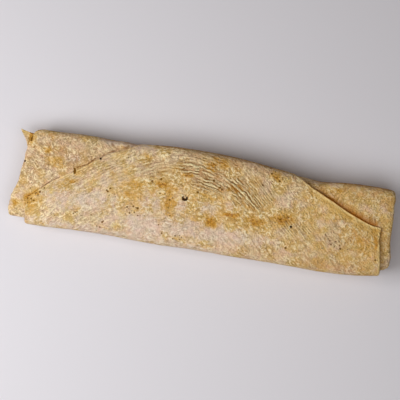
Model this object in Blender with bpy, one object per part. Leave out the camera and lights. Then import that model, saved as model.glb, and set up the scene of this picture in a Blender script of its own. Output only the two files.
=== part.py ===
"""A rolled flatbread wrap, lying as it was put down.

The real thing is one round sheet of soft flatbread. Its left and right sides are folded in over the filling
and the sheet is then rolled up. So the roll shows the sheet's round edge as a flap on top, a folded rim at
each end of every turn, and the turns one inside the other at both ends. It is shut all round, and is built
as one solid.

X runs along the roll, +Y is its back and +Z is up. The origin is the middle of the box round it, at its
underside. A place round the roll is its angle in degrees: 0 at the back, 90 on the crest, 180 at the front,
270 underneath, and on past 360 into the inner turns.
"""

import math
from functools import lru_cache

import bmesh
import bpy
import numpy as np
from mathutils import Vector, noise

MM = 0.001

# The roll's outer skin at stations along it: place, reach behind the axis line, reach before it, height.
SKIN_MM = (
    (-126.0, 28.2, 31.2, 16.5),
    (-109.0, 29.5, 31.4, 18.8),
    (-98.0, 29.6, 31.5, 20.2),
    (-82.0, 30.4, 30.7, 21.8),
    (-62.0, 30.3, 30.2, 23.6),
    (-38.0, 31.2, 30.4, 25.6),
    (-20.0, 32.1, 30.4, 26.6),
    (0.0, 32.3, 30.3, 27.2),
    (25.0, 31.2, 30.3, 27.8),
    (44.0, 29.0, 30.2, 28.2),
    (63.0, 27.4, 30.0, 28.5),
    (73.0, 26.3, 30.4, 28.6),
    (86.0, 27.6, 30.3, 28.8),
    (98.0, 28.4, 29.5, 28.8),
    (112.0, 28.4, 27.8, 28.4),
    (120.0, 28.0, 26.7, 28.0),
    (128.0, 27.6, 25.8, 27.6),
)

# The sheet's round edge: place along the roll, and distance round the skin from the crest, where a distance
# towards the front is positive. In the middle it has gone over the crest and down the back.
FLAP_EDGE_MM = (
    (-111.0, 16.6),
    (-104.0, 9.3),
    (-95.0, 1.0),
    (-83.0, -6.5),
    (-70.0, -15.8),
    (-57.0, -24.3),
    (-50.0, -27.4),
    (-35.0, -39.3),
    (-15.0, -42.3),
    (8.0, -42.5),
    (30.0, -42.0),
    (48.0, -36.7),
    (63.4, -25.2),
    (76.0, -19.4),
    (88.8, -12.7),
    (101.4, -6.7),
    (108.0, -4.2),
    (116.0, -3.0),
)

# How far each folded side reaches: angle round the roll in degrees, place in millimetres. The second turn
# sticks out past the first at both ends.
LEFT_FOLD = (
    (114.0, -109.2),
    (180.0, -108.4),
    (270.0, -110.0),
    (340.0, -107.4),
    (372.0, -108.4),
    (384.0, -110.2),
    (408.0, -112.6),
    (428.0, -113.8),
    (441.0, -114.6),
    (450.0, -116.3),
    (452.2, -117.5),
    (455.0, -118.5),
    (460.0, -119.2),
    (473.0, -119.9),
    (489.0, -120.2),
    (512.0, -120.0),
    (526.0, -119.2),
    (538.0, -117.6),
    (560.0, -116.5),
    (630.0, -115.0),
    (720.0, -110.5),
    (768.0, -110.8),
    (790.0, -112.5),
    (830.0, -115.0),
    (870.0, -116.5),
    (900.0, -116.5),
    (990.0, -113.0),
    (1080.0, -110.5),
)
RIGHT_FOLD = (
    (87.0, 113.2),
    (90.5, 114.8),
    (95.6, 116.0),
    (107.0, 117.1),
    (127.0, 118.1),
    (157.0, 118.7),
    (190.0, 118.2),
    (270.0, 119.0),
    (360.0, 120.2),
    (409.0, 120.8),
    (441.0, 121.2),
    (454.0, 122.2),
    (466.0, 123.4),
    (478.0, 123.9),
    (490.0, 124.0),
    (502.0, 123.7),
    (515.0, 122.7),
    (530.0, 121.3),
    (548.0, 120.0),
    (630.0, 119.8),
    (810.0, 119.2),
    (1080.0, 116.0),
)

FRONT_SQUARENESS = 4.2  # exponents of the skin's rounded section: above its waist, at the front
BACK_SQUARENESS = 6.0  # above its waist, at the back
BASE_SQUARENESS = 2.6  # below its waist
WAIST = 0.46  # height of the widest level, as a share of the roll's height
BASE_SAG = 1.6 * MM  # how far the section would bulge below the surface that it lies flat on

SHEET = 1.7 * MM  # one thickness of flatbread, which is the step at the flap's edge
FOLDED_LEFT = 3.0 * MM  # the sheet and the side folded in under it, near the left end
FOLDED_RIGHT = 1.9 * MM  # the same near the right end, where the roll is pressed closer
SINGLE_TO = 72.0 * MM  # within this distance of the middle the sheet is single
FOLDED_FROM = 92.0 * MM
DIP = 26.0 * MM  # the sheet sinks to its place under the flap over this distance before the flap's edge

TURNS = 2.5  # turns of the roll that show at its ends
CORE = 1.2 * MM  # half height of the pinched middle inside the last turn
FOLD_SHARE = 0.8  # a folded rim's share of the space between two turns; the rest is the gap
GROOVE = 4.0 * MM  # how deep the gap between two turns goes in from the folded rim
CORE_HOLLOW = 2.0 * MM  # how far the pinched middle lies in from the last gap
CORNER_SHARE = 0.25  # the flap's corner follows the round edge this share of a turn
INNER_END_SHARE = 0.4  # the inner end of the sheet slopes into the roll over this share of a turn

LUMP = 0.7 * MM  # swell of the soft sheet over its filling
LUMP_LENGTH = 24.0 * MM

# The torn point of the sheet that stands out at the left end, by the back: its outline, with distances
# towards the back measured from the line that it tilts about.
TIP_OUTLINE_MM = (
    (-108.0, 2.0),
    (-112.4, 2.2),
    (-120.5, 3.9),
    (-118.2, 0.6),
    (-116.0, -2.6),
    (-114.4, -6.8),
    (-108.0, -8.0),
)
TIP_PLACE = (0.0, 23.8 * MM, 11.8 * MM)
TIP_TILT = -16.0  # degrees, lower towards the back
TIP_THICKNESS = 1.7 * MM

COLUMNS = 48  # faces round one turn
ROWS = 44  # faces along the roll
STRIP_ROWS = 2  # faces along a turn where it sticks out of the one round it
FOLD_STEPS = 4  # faces round a folded rim
SECTION_STEPS = 360  # points that measure the way round the skin, closest together at its quarters

COLOUR = (0.56, 0.41, 0.25, 1.0)
ROUGHNESS = 0.75


def smooth_curve(points, at):
    """The value at `at` of a smooth curve through the points (place, value)."""
    places, values = np.array(points, dtype=float).T
    slopes = np.gradient(values, places)
    i = int(np.clip(np.searchsorted(places, at) - 1, 0, len(places) - 2))
    span = places[i + 1] - places[i]
    t = float(np.clip((at - places[i]) / span, 0.0, 1.0))
    start = (2 * t**3 - 3 * t**2 + 1) * values[i] + (t**3 - 2 * t**2 + t) * span * slopes[i]
    end = (3 * t**2 - 2 * t**3) * values[i + 1] + (t**3 - t**2) * span * slopes[i + 1]
    return float(start + end)


def ease(low, high, value):
    """0 below low, 1 above high, and a smooth rise between them."""
    t = min(1.0, max(0.0, (value - low) / (high - low)))
    return t * t * (3.0 - 2.0 * t)


@lru_cache(maxsize=None)
def skin_size(x):
    """The outer skin's reach behind and before the axis line, and its height, at x."""
    stations = np.array(SKIN_MM)
    return tuple(smooth_curve(stations[:, (0, column)], x / MM) * MM for column in (1, 2, 3))


def skin_point(x, angle, depth, swell=0.0):
    """Across and up at an angle round the roll, at a depth below the outer skin."""
    back, front, height = skin_size(x)
    across, up = math.cos(math.radians(angle)), math.sin(math.radians(angle))
    waist = WAIST * height
    if up >= 0.0:
        squareness = FRONT_SQUARENESS + (BACK_SQUARENESS - FRONT_SQUARENESS) * ease(-0.3, 0.3, across)
        power, reach = 2.0 / squareness, height - waist - depth + swell
    else:
        power, reach = 2.0 / BASE_SQUARENESS, waist + BASE_SAG - depth
    half_width = 0.5 * (back + front) - depth + swell
    y = 0.5 * (back - front) + half_width * math.copysign(abs(across) ** power, across)
    z = waist + reach * math.copysign(abs(up) ** power, up)
    return y, max(z, depth)


def roll_point(x, angle, depth):
    """A point of the roll, with the soft swell that fades out towards the flat underside."""
    up = math.sin(math.radians(angle))
    lump = noise.noise(Vector((x, *skin_point(x, angle, 0.0))) / LUMP_LENGTH)
    return Vector((x, *skin_point(x, angle, depth, LUMP * lump * ease(-0.3, 0.3, up))))


@lru_cache(maxsize=None)
def way_round(x):
    """Angles from the crest once round the skin at x, and the distance run to each of them."""
    quarter, share = np.divmod(np.linspace(0.0, 4.0, SECTION_STEPS + 1), 1.0)
    angles = 90.0 + 90.0 * (quarter + share**3 / (share**3 + (1.0 - share) ** 3))
    points = np.array([skin_point(x, angle, 0.0) for angle in angles])
    steps = np.linalg.norm(np.diff(points, axis=0), axis=1)
    return angles, np.concatenate(([0.0], np.cumsum(steps)))


def girth(x):
    """Distance once round the skin at x."""
    return way_round(x)[1][-1]


def angle_at(x, distance):
    """Angle round the roll at a distance round the skin from the crest."""
    angles, run = way_round(x)
    turns, rest = divmod(distance, run[-1])
    return 360.0 * turns + float(np.interp(rest, run, angles))


def flap_edge(x):
    """Distance round the skin from the crest to the sheet's round edge at x."""
    return smooth_curve(FLAP_EDGE_MM, x / MM) * MM


def column_angle(x, turned):
    """Angle round the roll after `turned` turns from the sheet's round edge."""
    return angle_at(x, flap_edge(x) + turned * girth(x))


def first_step(x):
    """Step from the outer turn down to the next one at x."""
    folded = FOLDED_LEFT if x < 0.0 else FOLDED_RIGHT
    return SHEET + (folded - SHEET) * ease(SINGLE_TO, FOLDED_FROM, abs(x))


def turn_depth(x, turned):
    """Depth of the sheet's surface below the outer skin, `turned` turns from its round edge."""
    step = first_step(x)
    if turned <= 1.0:
        return step * ease(1.0 - DIP / girth(x), 1.0, turned)
    spare = WAIST * skin_size(x)[2] - step - CORE
    return step + spare * (turned - 1.0) / (TURNS - 1.0)


def add_loft(mesh, rows):
    """Faces between neighbouring rows of points, each row as long as the next."""
    grid = [[mesh.verts.new(point) for point in row] for row in rows]
    for row, following in zip(grid, grid[1:]):
        for i in range(len(row) - 1):
            mesh.faces.new((row[i], row[i + 1], following[i + 1], following[i]))


def strip_points(start, stop, angle, depth, turned):
    """Points along a strip of sheet that sticks out. By the flap's corner they follow its round edge."""
    lean = 1.0 - ease(0.0, CORNER_SHARE, turned)
    points = []
    for x in np.linspace(start, stop, STRIP_ROWS + 1):
        there = angle + lean * (column_angle(x, turned) - angle) if lean else angle
        points.append(roll_point(x, there, depth))
    return points, there


def rim_points(x, side, angle, depth, thickness):
    """Points round a folded rim that ends its strip at x: half a circle through the sheet's thickness."""
    radius = 0.5 * thickness
    points = []
    for i in range(1, FOLD_STEPS + 1):
        bend = math.pi * i / FOLD_STEPS
        out = side * radius * math.sin(bend)
        points.append(roll_point(x + out, angle, depth + radius * (1.0 - math.cos(bend))))
    return points


def rolled_end(corner, fold, side):
    """One end of the roll as a list of columns round its turns. Each column has the strip of sheet that
    sticks out, the round of its folded rim and the gap down to the next turn."""
    count = round(TURNS * COLUMNS)
    columns = []
    gap_ends = []  # where the gap at each column ends, which is where the next turn's strip begins
    for j in range(count):
        turned = j / COLUMNS
        angle = column_angle(corner, turned)
        depth = turn_depth(corner, turned)
        next_depth = turn_depth(corner, min(turned + 1.0, TURNS))
        thickness = FOLD_SHARE * (next_depth - depth)
        start = corner if j <= COLUMNS else gap_ends[j - COLUMNS]
        stop = smooth_curve(fold, angle) * MM - side * 0.5 * thickness
        stop += (start - stop) * ease(TURNS - INNER_END_SHARE, TURNS, turned)
        gap_end = stop - side * GROOVE if j else corner
        strip, stop_angle = strip_points(start, stop, angle, depth, turned)
        gap = [roll_point(gap_end, angle, depth + thickness), roll_point(gap_end, angle, next_depth)]
        columns.append(strip + rim_points(stop, side, stop_angle, depth, thickness) + gap)
        gap_ends.append(gap_end)
    # The sheet's inner end runs out to nothing against the turn round it.
    inner_end = columns[count - COLUMNS][-1]
    columns.append([inner_end] * len(columns[0]))
    return columns


def add_end(mesh, corner, fold, side):
    """One end of the roll, with the flap's corner closed and the pinched middle filled."""
    columns = rolled_end(corner, fold, side)
    add_loft(mesh, columns)
    mesh.faces.new([mesh.verts.new(point) for point in columns[0][:-1]])
    innermost = [column[-1] for column in columns[-COLUMNS - 1 :]]
    middle = sum(innermost, Vector()) / len(innermost) - Vector((side * CORE_HOLLOW, 0.0, 0.0))
    add_loft(mesh, [innermost, [middle] * len(innermost)])


def build_roll():
    """The rolled sheet as one closed body."""
    mesh = bmesh.new()
    left = LEFT_FOLD[0][1] * MM + GROOVE
    right = RIGHT_FOLD[0][1] * MM - GROOVE
    places = np.linspace(left, right, ROWS + 1)

    outer_turn = [
        [roll_point(x, column_angle(x, j / COLUMNS), turn_depth(x, j / COLUMNS)) for x in places]
        for j in range(COLUMNS + 1)
    ]
    flap_rim = [
        [roll_point(x, column_angle(x, 0.0), first_step(x) * share) for x in places]
        for share in (0.0, FOLD_SHARE, 1.0)
    ]
    add_loft(mesh, outer_turn)
    add_loft(mesh, flap_rim)
    add_end(mesh, left, LEFT_FOLD, -1)
    add_end(mesh, right, RIGHT_FOLD, 1)

    bmesh.ops.remove_doubles(mesh, verts=mesh.verts, dist=0.01 * MM)
    bmesh.ops.dissolve_degenerate(mesh, edges=mesh.edges, dist=0.01 * MM)
    bmesh.ops.recalc_face_normals(mesh, faces=mesh.faces)
    bmesh.ops.triangulate(mesh, faces=mesh.faces)
    data = bpy.data.meshes.new("wrap")
    mesh.to_mesh(data)
    mesh.free()
    return bpy.data.objects.new("wrap", data)


def build_tip():
    """The torn point, as a flat piece of sheet whose root lies inside the roll."""
    outline = bpy.data.curves.new("torn_tip", "CURVE")
    outline.dimensions = "2D"
    outline.fill_mode = "BOTH"
    outline.extrude = 0.5 * TIP_THICKNESS
    spline = outline.splines.new("POLY")
    spline.points.add(len(TIP_OUTLINE_MM) - 1)
    for point, (x, y) in zip(spline.points, TIP_OUTLINE_MM):
        point.co = (x * MM, y * MM, 0.0, 1.0)
    spline.use_cyclic_u = True
    guide = bpy.data.objects.new("torn_tip_outline", outline)
    bpy.context.scene.collection.objects.link(guide)

    data = bpy.data.meshes.new_from_object(guide.evaluated_get(bpy.context.evaluated_depsgraph_get()))
    bpy.data.objects.remove(guide)
    mesh = bmesh.new()
    mesh.from_mesh(data)
    bmesh.ops.remove_doubles(mesh, verts=mesh.verts, dist=0.01 * MM)
    mesh.to_mesh(data)
    mesh.free()
    tip = bpy.data.objects.new("torn_tip", data)
    tip.location = TIP_PLACE
    tip.rotation_euler.x = math.radians(TIP_TILT)
    return tip


def join_tip(roll, tip):
    """Fuse the torn point to the roll, and set the origin under the middle of the whole."""
    union = roll.modifiers.new("torn_tip", "BOOLEAN")
    union.operation = "UNION"
    union.solver = "EXACT"
    union.object = tip
    bpy.context.view_layer.update()
    data = bpy.data.meshes.new_from_object(roll.evaluated_get(bpy.context.evaluated_depsgraph_get()))
    roll.modifiers.clear()
    roll.data = data
    data.name = "wrap"
    corners = np.array([vertex.co for vertex in data.vertices])
    low, high = corners.min(axis=0), corners.max(axis=0)
    for vertex in data.vertices:
        vertex.co -= Vector((0.5 * (low[0] + high[0]), 0.5 * (low[1] + high[1]), low[2]))
    bpy.data.objects.remove(tip)


def flatbread():
    """Pale toasted flatbread."""
    material = bpy.data.materials.new("flatbread")
    material.use_nodes = True
    shader = material.node_tree.nodes["Principled BSDF"]
    shader.inputs["Base Color"].default_value = COLOUR
    shader.inputs["Roughness"].default_value = ROUGHNESS
    shader.inputs["Metallic"].default_value = 0.0
    return material


def main():
    for old in list(bpy.data.objects):
        bpy.data.objects.remove(old, do_unlink=True)
    wrap_collection = bpy.data.collections.new("rolled_wrap")
    bpy.context.scene.collection.children.link(wrap_collection)
    roll = build_roll()
    tip = build_tip()
    wrap_collection.objects.link(roll)
    wrap_collection.objects.link(tip)
    join_tip(roll, tip)
    roll.data.materials.append(flatbread())
    roll.data.shade_smooth()
    roll.data.set_sharp_from_angle(angle=math.radians(50.0))


main()
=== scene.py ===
"""A whole closed wrap of toasted flatbread, lying on a pale surface and seen from straight above."""

import math

import bpy
import numpy as np
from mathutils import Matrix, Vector, noise


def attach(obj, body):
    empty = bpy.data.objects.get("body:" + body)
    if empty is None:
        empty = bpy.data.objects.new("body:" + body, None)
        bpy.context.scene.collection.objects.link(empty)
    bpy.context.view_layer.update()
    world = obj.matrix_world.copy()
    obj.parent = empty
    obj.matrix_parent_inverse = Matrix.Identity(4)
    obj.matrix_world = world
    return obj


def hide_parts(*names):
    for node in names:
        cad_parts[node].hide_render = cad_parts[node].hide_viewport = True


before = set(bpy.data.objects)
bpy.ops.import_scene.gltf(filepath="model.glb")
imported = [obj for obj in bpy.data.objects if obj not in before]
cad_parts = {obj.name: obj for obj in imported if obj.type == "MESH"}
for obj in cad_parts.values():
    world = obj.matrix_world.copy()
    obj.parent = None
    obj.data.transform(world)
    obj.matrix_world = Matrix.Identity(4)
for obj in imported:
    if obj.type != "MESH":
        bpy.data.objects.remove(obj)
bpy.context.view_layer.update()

# ---- The rolled sheet -----------------------------------------------------------------------------
# One round sheet of soft flatbread, its left and right sides folded in, rolled up round the filling and
# flattened a little by its own weight. It is made of grids that wind two and a half times round the roll.

# Lengths are in millimetres. A place on the sheet is x along the roll and s, the distance round the skin from
# the crest, growing towards the front. A place round the roll is an angle: 0 at the back, 90 on the crest,
# 180 at the front, 270 underneath, past 360 in the inner turns.
MM = 0.001
AXIS_X, AXIS_Y = -2.06, -0.52  # where the line that all is measured from lies in the frame

# The outer skin at stations along the roll: place, reach behind the line, reach before it, height.
SKIN = (
    (-126.0, 28.2, 31.2, 16.5),
    (-109.0, 29.5, 31.4, 18.8),
    (-98.0, 29.6, 31.5, 20.2),
    (-82.0, 30.4, 30.7, 21.8),
    (-62.0, 30.3, 30.2, 23.6),
    (-38.0, 31.2, 30.4, 25.6),
    (-20.0, 32.1, 30.4, 26.6),
    (0.0, 32.3, 30.3, 27.2),
    (25.0, 31.2, 30.3, 27.8),
    (44.0, 29.0, 30.2, 28.2),
    (63.0, 27.4, 30.0, 28.5),
    (73.0, 26.3, 30.4, 28.6),
    (86.0, 27.6, 30.3, 28.8),
    (98.0, 28.4, 29.5, 28.8),
    (112.0, 28.4, 27.8, 28.4),
    (120.0, 28.0, 26.7, 28.0),
    (128.0, 27.6, 25.8, 27.6),
)
FRONT_SQUARENESS, BACK_SQUARENESS, BASE_SQUARENESS = 4.2, 6.0, 2.6
CREST_WIDTH = 0.3  # the front's squareness turns into the back's this far each side of the crest, as a cosine
WAIST = 0.46  # height of the widest level, as a share of the roll's height
BASE_SAG = 1.6  # the underside would sag this far below the table, which presses it flat

# The sheet's round edge, x and s. In the middle it has gone over the crest and down the back.
FLAP_EDGE = (
    (-111.0, 16.6),
    (-104.0, 9.3),
    (-95.0, 1.0),
    (-83.0, -6.5),
    (-70.0, -15.8),
    (-57.0, -24.3),
    (-50.0, -27.4),
    (-35.0, -39.3),
    (-15.0, -42.3),
    (8.0, -42.5),
    (30.0, -42.0),
    (48.0, -36.7),
    (63.4, -25.2),
    (76.0, -19.4),
    (88.8, -12.7),
    (101.4, -6.7),
    (108.0, -4.2),
    (116.0, -3.0),
)

# How far each folded side reaches, angle and x. The second turn sticks out past the first at both ends.
LEFT_FOLD = (
    (114.0, -109.2),
    (180.0, -108.4),
    (270.0, -110.0),
    (340.0, -107.4),
    (372.0, -108.4),
    (384.0, -110.2),
    (408.0, -112.6),
    (428.0, -113.8),
    (441.0, -114.6),
    (450.0, -116.3),
    (452.2, -117.5),
    (455.0, -118.5),
    (460.0, -119.2),
    (473.0, -119.9),
    (489.0, -120.2),
    (512.0, -120.0),
    (526.0, -119.2),
    (538.0, -117.6),
    (560.0, -116.5),
    (630.0, -115.0),
    (720.0, -110.5),
    (768.0, -110.8),
    (790.0, -112.5),
    (830.0, -115.0),
    (870.0, -116.5),
    (900.0, -116.5),
    (990.0, -113.0),
    (1080.0, -110.5),
)
RIGHT_FOLD = (
    (87.0, 113.2),
    (90.5, 114.8),
    (95.6, 116.0),
    (107.0, 117.1),
    (127.0, 118.1),
    (157.0, 118.7),
    (190.0, 118.2),
    (270.0, 119.0),
    (360.0, 120.2),
    (409.0, 120.8),
    (441.0, 121.2),
    (454.0, 122.2),
    (466.0, 123.4),
    (478.0, 123.9),
    (490.0, 124.0),
    (502.0, 123.7),
    (515.0, 122.7),
    (530.0, 121.3),
    (548.0, 120.0),
    (630.0, 119.8),
    (810.0, 119.2),
    (1080.0, 116.0),
)

SHEET, FOLDED_LEFT, FOLDED_RIGHT = 1.7, 3.0, 1.9  # a step from turn to turn: single, with the sides folded in
SINGLE_TO, FOLDED_FROM = 72.0, 92.0  # the step grows between these distances from the middle
DIP = 26.0  # the sheet sinks to its place under the flap over this distance before the flap's edge
TURNS = 2.5
CORE = 1.2  # half the height of the pinched middle
CORE_BULGE, CORE_STEPS = 3.6, 5  # it swells out by this much at each end
CORE_CLOSED = 0.95  # and closes to this share there
FOLD_SHARE = 0.8  # a folded rim takes this share of the step from turn to turn, and the gap takes the rest
FOLD_POWER = 0.65  # the rim is squarer than a half circle, whose power is 1
GROOVE = 4.0  # how far in the gap beside a folded rim goes
RAGGED = 0.5  # how far the folded rims wander
CORNER_SHARE = 0.25  # beyond the flap's corner the sheet follows the flap's edge over this share of a turn
INNER_END_SHARE = 0.12  # the innermost rim draws back to nothing over this share of a turn
# painted shade: the next two set how the gaps beside folded rims and between the inner turns are darkened
RIM_SHADE, RIM_SHADE_WIDTH = 0.38, 3.4  # how the gap beside a folded rim tints the strip that it lies on
INNER_DARK = 0.55  # how dark the gaps between the inner turns are

# How far the flap's edge lies pressed down, x and depth.
PRESSED = (
    (-112.0, 1.5),
    (-103.0, 2.1),
    (-95.0, 2.4),
    (-85.0, 2.1),
    (-76.0, 1.3),
    (-62.0, 1.0),
    (-48.0, 0.4),
    (-30.0, 0.0),
    (60.0, 0.0),
    (80.0, 0.3),
    (98.0, 0.8),
    (118.0, 0.9),
)
PRESS_WIDTH = 9.0  # it lies pressed down this far in from its edge
OVERHANG, OVERHANG_ENDS = 0.7, 5.0  # it bulges out over the turn below, less in the last millimetres

# The relief of the soft sheet: lumps over the filling, dimples, puckers and fine creases.
LUMP, LUMP_LENGTH = 0.7, 24.0
DIMPLE, DIMPLE_LENGTH = 0.24, 8.0
PUCKER, PUCKER_LENGTH = 0.10, 3.2
CREASE, CREASE_LENGTH, CREASE_WIDTH = 0.3, 8.0, 2.6
CREASE_ELSEWHERE = 0.3  # the creases' share away from the places listed as creased
RELIEF_FADE = 0.3  # the relief fades out this far each side of the widest level, as a sine

COLUMNS = 232  # faces round one turn
ROWS = 284  # faces along the roll
STRIP_ROWS = 10  # along the strip that sticks out at an end
FOLD_STEPS = 8  # round a folded rim
RIM_STEPS = 5  # round the flap's edge
WELD = 2e-6  # metres; points nearer to each other than this become one


def curve(points, at):
    """Values at `at` of a smooth curve through the points (place, value)."""
    places, values = np.array(points, dtype=float).T
    slopes = np.gradient(values, places)
    at = np.clip(at, places[0], places[-1])
    i = np.clip(np.searchsorted(places, at) - 1, 0, len(places) - 2)
    span = places[i + 1] - places[i]
    t = (at - places[i]) / span
    start = (2 * t**3 - 3 * t**2 + 1) * values[i] + (t**3 - 2 * t**2 + t) * span * slopes[i]
    end = (3 * t**2 - 2 * t**3) * values[i + 1] + (t**3 - t**2) * span * slopes[i + 1]
    return start + end


def ease(low, high, value):
    """0 below low, 1 above high, and a smooth rise between them."""
    t = np.clip((value - low) / (high - low), 0.0, 1.0)
    return t * t * (3.0 - 2.0 * t)


def skin_size(x):
    """How far the outer skin reaches back, forward and up."""
    stations = np.array(SKIN)
    return [curve(stations[:, (0, column)], x) for column in (1, 2, 3)]


def skin_point(x, angle, depth):
    """Across and up on the roll at an angle, at a depth below the outer skin."""
    back, front, height = skin_size(x)
    across, up = np.cos(np.radians(angle)), np.sin(np.radians(angle))
    waist = WAIST * height
    top = FRONT_SQUARENESS + (BACK_SQUARENESS - FRONT_SQUARENESS) * ease(-CREST_WIDTH, CREST_WIDTH, across)
    power = 2.0 / np.where(up >= 0.0, top, BASE_SQUARENESS)
    reach = np.where(up >= 0.0, height - waist, waist + BASE_SAG) - depth
    half_width = 0.5 * (back + front) - depth
    y = 0.5 * (back - front) + half_width * np.sign(across) * np.abs(across) ** power
    z = waist + reach * np.sign(up) * np.abs(up) ** power
    return y, np.maximum(z, depth)


# The way round the skin, measured once for each millimetre of the roll: its girth, and the angle at each
# share of the girth from the crest.
MEASURED_X = np.arange(-127.0, 130.0)
SHARES = 720  # of the girth
girths, angles_round = [], []
quarter, share = np.divmod(np.linspace(0.0, 4.0, SHARES + 1), 1.0)
way = 90.0 + 90.0 * (quarter + share**3 / (share**3 + (1.0 - share) ** 3))  # close together at the quarters
for x in MEASURED_X:
    y, z = skin_point(x, way, np.zeros_like(way))
    run = np.concatenate(([0.0], np.cumsum(np.hypot(np.diff(y), np.diff(z)))))
    girths.append(run[-1])
    angles_round.append(np.interp(np.linspace(0.0, 1.0, SHARES + 1) * run[-1], run, way))
girths, angles_round = np.array(girths), np.array(angles_round)


def girth(x):
    return np.interp(x, MEASURED_X, girths)


def angle_at(x, s):
    """Angle round the roll at the place (x, s) of the sheet."""
    turns, share = np.divmod(s / girth(x), 1.0)
    i = np.clip(np.floor(x - MEASURED_X[0]).astype(int), 0, len(MEASURED_X) - 2)
    j = np.clip(np.floor(share * SHARES).astype(int), 0, SHARES - 1)
    a, b = x - MEASURED_X[0] - i, share * SHARES - j
    near = angles_round[i, j] * (1 - b) + angles_round[i, j + 1] * b
    far = angles_round[i + 1, j] * (1 - b) + angles_round[i + 1, j + 1] * b
    return 360.0 * turns + near * (1 - a) + far * a


def sheet_s(x, turned):
    """The distance s after `turned` turns from the sheet's round edge."""
    return curve(FLAP_EDGE, x) + turned * girth(x)


def first_step(x):
    """How far the flap's surface stands above the layer under it."""
    folded = np.where(np.less(x, 0.0), FOLDED_LEFT, FOLDED_RIGHT)
    return SHEET + (folded - SHEET) * ease(SINGLE_TO, FOLDED_FROM, np.abs(x))


def turn_depth(x, turned):
    """Depth of the sheet's surface below the outer skin, `turned` turns from its round edge."""
    step = first_step(x)
    outer = step * ease(1.0 - DIP / girth(x), 1.0, turned)
    pressed = curve(PRESSED, x) * (1.0 - ease(0.0, PRESS_WIDTH / girth(x), turned))
    inner = step + (WAIST * skin_size(x)[2] - step - CORE) * (turned - 1.0) / (TURNS - 1.0)
    return np.where(turned <= 1.0, outer + pressed, inner)


def wander(points, length, seed=0.0):
    """Smooth wandering values from about -1 to 1 at an array of points."""
    return np.array([noise.noise(Vector(point)) for point in points / length + seed])


# The fine creases bend with the sheet's round edge. Their slope is given along x, and their run is its sum.
# On the layer under the flap they run the other way.
CREASE_SLOPE = (
    (-125.0, 0.75),
    (-70.0, 0.7),
    (-45.0, 0.45),
    (-30.0, 0.3),
    (-20.0, 0.12),
    (-9.0, -0.05),
    (0.0, -0.2),
    (8.0, -0.34),
    (16.0, -0.5),
    (24.0, -0.7),
    (32.0, -0.8),
    (80.0, -0.8),
    (130.0, -0.7),
)
UNDER = (0.5, 0.75)  # past so many turns from its round edge the sheet is the layer under the flap
UNDER_CREASE_SLOPE = ((-125.0, -0.7), (-60.0, -0.8), (0.0, 0.0), (60.0, -1.1), (130.0, -1.4))
crease_slopes = [curve(slopes, MEASURED_X)[:-1] for slopes in (CREASE_SLOPE, UNDER_CREASE_SLOPE)]
crease_runs = [np.concatenate(([0.0], np.cumsum(slopes))) for slopes in crease_slopes]


def across_creases(x, s, turned):
    """Distance across the run of the fine creases."""
    over, under = (np.interp(x, MEASURED_X, run) for run in crease_runs)
    return -s - over - (under - over) * ease(*UNDER, turned)


# Where the sheet is most creased, seen from above: x, y, half length along the roll, half width, strength.
CREASED = (
    (-8.5, 20.5, 12.5, 4.4, 1.0),
    (3.5, 12.5, 10.5, 5.5, 1.0),
    (19.5, 14.5, 6.0, 5.0, 1.0),
    (26.0, 10.0, 6.5, 6.5, 1.0),
    (33.5, 5.0, 6.5, 5.0, 0.9),
    (38.0, 9.0, 7.0, 5.0, 0.5),
    (-33.0, 16.0, 13.0, 6.0, 0.45),
    (-58.0, 11.0, 12.0, 8.0, 0.35),
    (-74.0, 2.0, 14.0, 8.0, 0.2),
    (41.0, 11.0, 6.0, 5.0, 0.5),
    (33.0, 17.0, 7.0, 4.0, 0.4),
    (62.0, -7.0, 12.0, 6.0, 0.35),
    (86.0, -11.0, 10.0, 5.0, 0.25),
    (-3.0, 29.0, 24.0, 3.2, 0.4),
    (6.0, 20.0, 8.0, 4.0, 0.5),
)

# Single folds in the sheet: the points that each runs through, seen from above, its width and its depth.
FOLDS = (
    (((-81.0, 9.2), (-74.5, 12.2), (-70.5, 16.8)), 0.7, 0.25),
    (((-61.6, 27.2), (-59.8, 25.7), (-57.3, 24.6), (-54.6, 25.5), (-51.5, 27.0)), 1.1, 0.7),
    (((-66.0, 19.2), (-62.0, 22.0), (-58.5, 24.0), (-55.0, 25.0), (-50.5, 27.0)), 0.7, 0.2),
    (((80.5, -6.5), (84.5, -10.5)), 0.5, 0.1),
    (((-101.5, -7.8), (-100.5, -6.5), (-97.4, -3.4), (-93.8, -0.6), (-91.0, 1.2)), 0.5, 0.1),
)

# Where the layer under the flap bulges up beside the flap's edge, by so many millimetres.
BULGES = ((-53.0, 30.0, 7.0, 4.5, 1.2),)


def fold_lines(points):
    """How deep the folds are at each point, and how near the middle of one it lies, from 0 to 1."""
    depth, near = np.zeros(len(points)), np.zeros(len(points))
    for path, width, deepest in FOLDS:
        for start, stop in zip(np.array(path), np.array(path[1:])):
            run = stop - start
            share = np.clip((points[:, :2] - start) @ run / (run @ run), 0.0, 1.0)
            reach = np.linalg.norm(points[:, :2] - start - share[:, None] * run, axis=1) / width
            depth = np.maximum(depth, deepest * np.exp(-(reach**2)))
            near = np.maximum(near, np.clip(1.0 - 0.5 * reach, 0.0, 1.0))
    return depth, near


PATCH_FADE = (0.2, 1.6)  # a patch fades out between these shares of its half length and half width


def soft_patches(points, patches, seen=1.0):
    """How strongly the patches, given as seen from above, cover each point."""
    cover = np.zeros(len(points))
    for x, y, long, wide, strength in patches:
        reach = np.hypot((points[:, 0] - x) / long, (points[:, 1] - y) / wide)
        cover = np.maximum(cover, strength * seen * (1.0 - ease(*PATCH_FADE, reach)))
    return cover


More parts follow.
